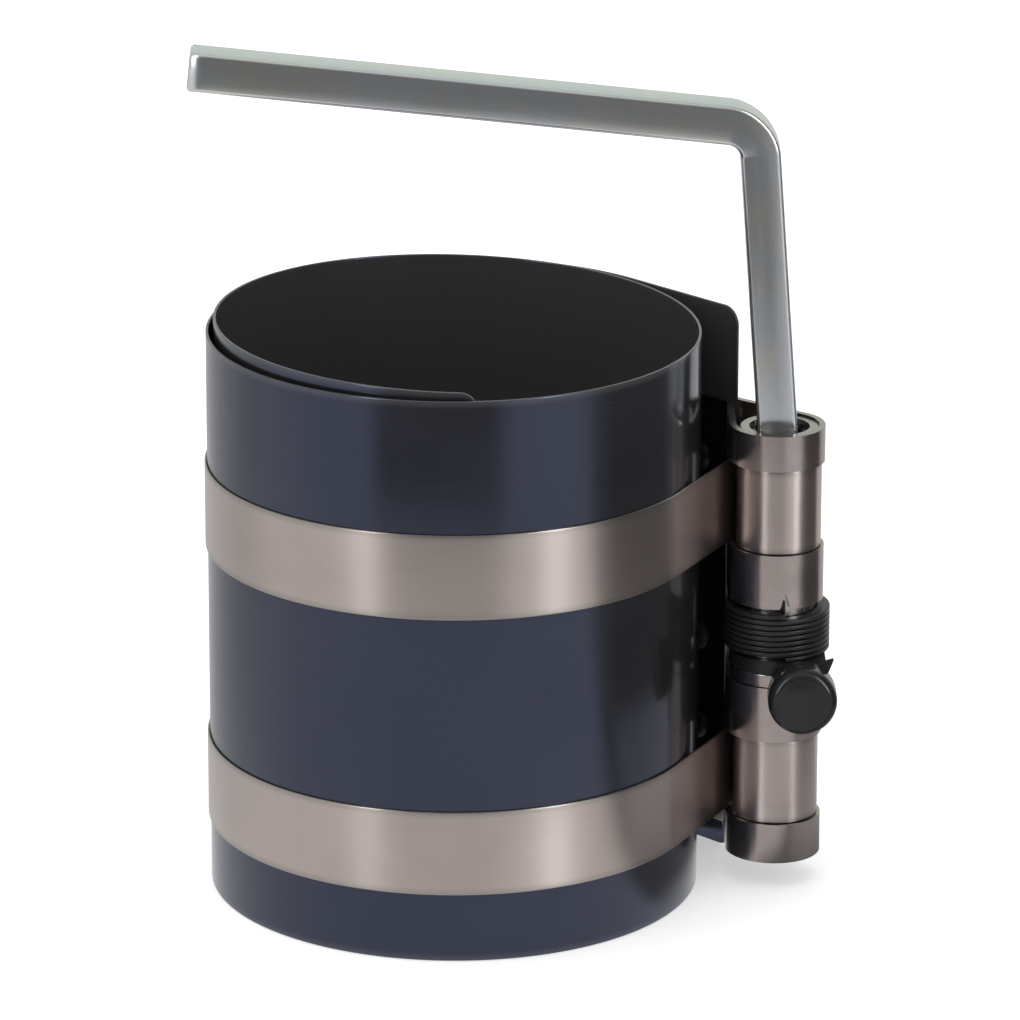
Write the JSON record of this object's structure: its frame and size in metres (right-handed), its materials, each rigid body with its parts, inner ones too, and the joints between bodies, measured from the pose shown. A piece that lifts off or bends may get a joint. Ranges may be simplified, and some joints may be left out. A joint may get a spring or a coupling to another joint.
{
  "type": "piston ring compressor",
  "caption": "Coiled spring steel sleeve drawn closed by two tension bands that wind on a key driven shaft with a wrap spring clutch and a release knob",
  "frame": {"origin": "centre of the sleeve's bore, in the plane of its lower rim", "axes": "+Z along the sleeve's axis, up to the end that the key stands at; +X from the sleeve's axis towards the shaft; the release knob faces -Y"},
  "size_m": [0.0893, 0.0698, 0.12],
  "materials": {
    "blued_steel": "blued spring steel with a soft sheen",
    "band_steel": "bright cold rolled spring steel",
    "housing_steel": "satin steel",
    "rivet_steel": "dark oiled steel",
    "shaft_steel": "turned steel",
    "black_steel": "black oxide",
    "knob_black": "glossy black",
    "plated_steel": "zinc plated with a faint iridescence"
  },
  "bodies": {
    "root": {"sleeve": "blued_steel", "upper_tension_band": "band_steel", "lower_tension_band": "band_steel", "housing": "housing_steel", "housing_rivets": "rivet_steel", "spacer_ring": "housing_steel", "clutch_spring": "black_steel"},
    "spool": {"shaft": "shaft_steel", "upper_band_coil": "band_steel", "lower_band_coil": "band_steel"},
    "release": {"release_lever": "black_steel", "release_knob": "knob_black", "knob_pin": "rivet_steel"},
    "key": {"key": "plated_steel"}
  },
  "joints": [
    {"name": "spool_turn", "type": "hinge", "parent": "root", "child": "spool", "pos_m": [0.0446, -0.00142, 0.035], "axis": [0, 0, -1], "continuous": true},
    {"name": "key_lift", "type": "slide", "parent": "spool", "child": "key", "axis": [-0.0715, 0, 0.9974], "range_m": [0, 0.03]},
    {"name": "knob_release", "type": "hinge", "parent": "root", "child": "release", "pos_m": [0.0446, -0.00142, 0.033], "axis": [0, 0, -1], "range_deg": [0, 20], "stiffness_Nm_per_rad": 0.02}
  ]
}
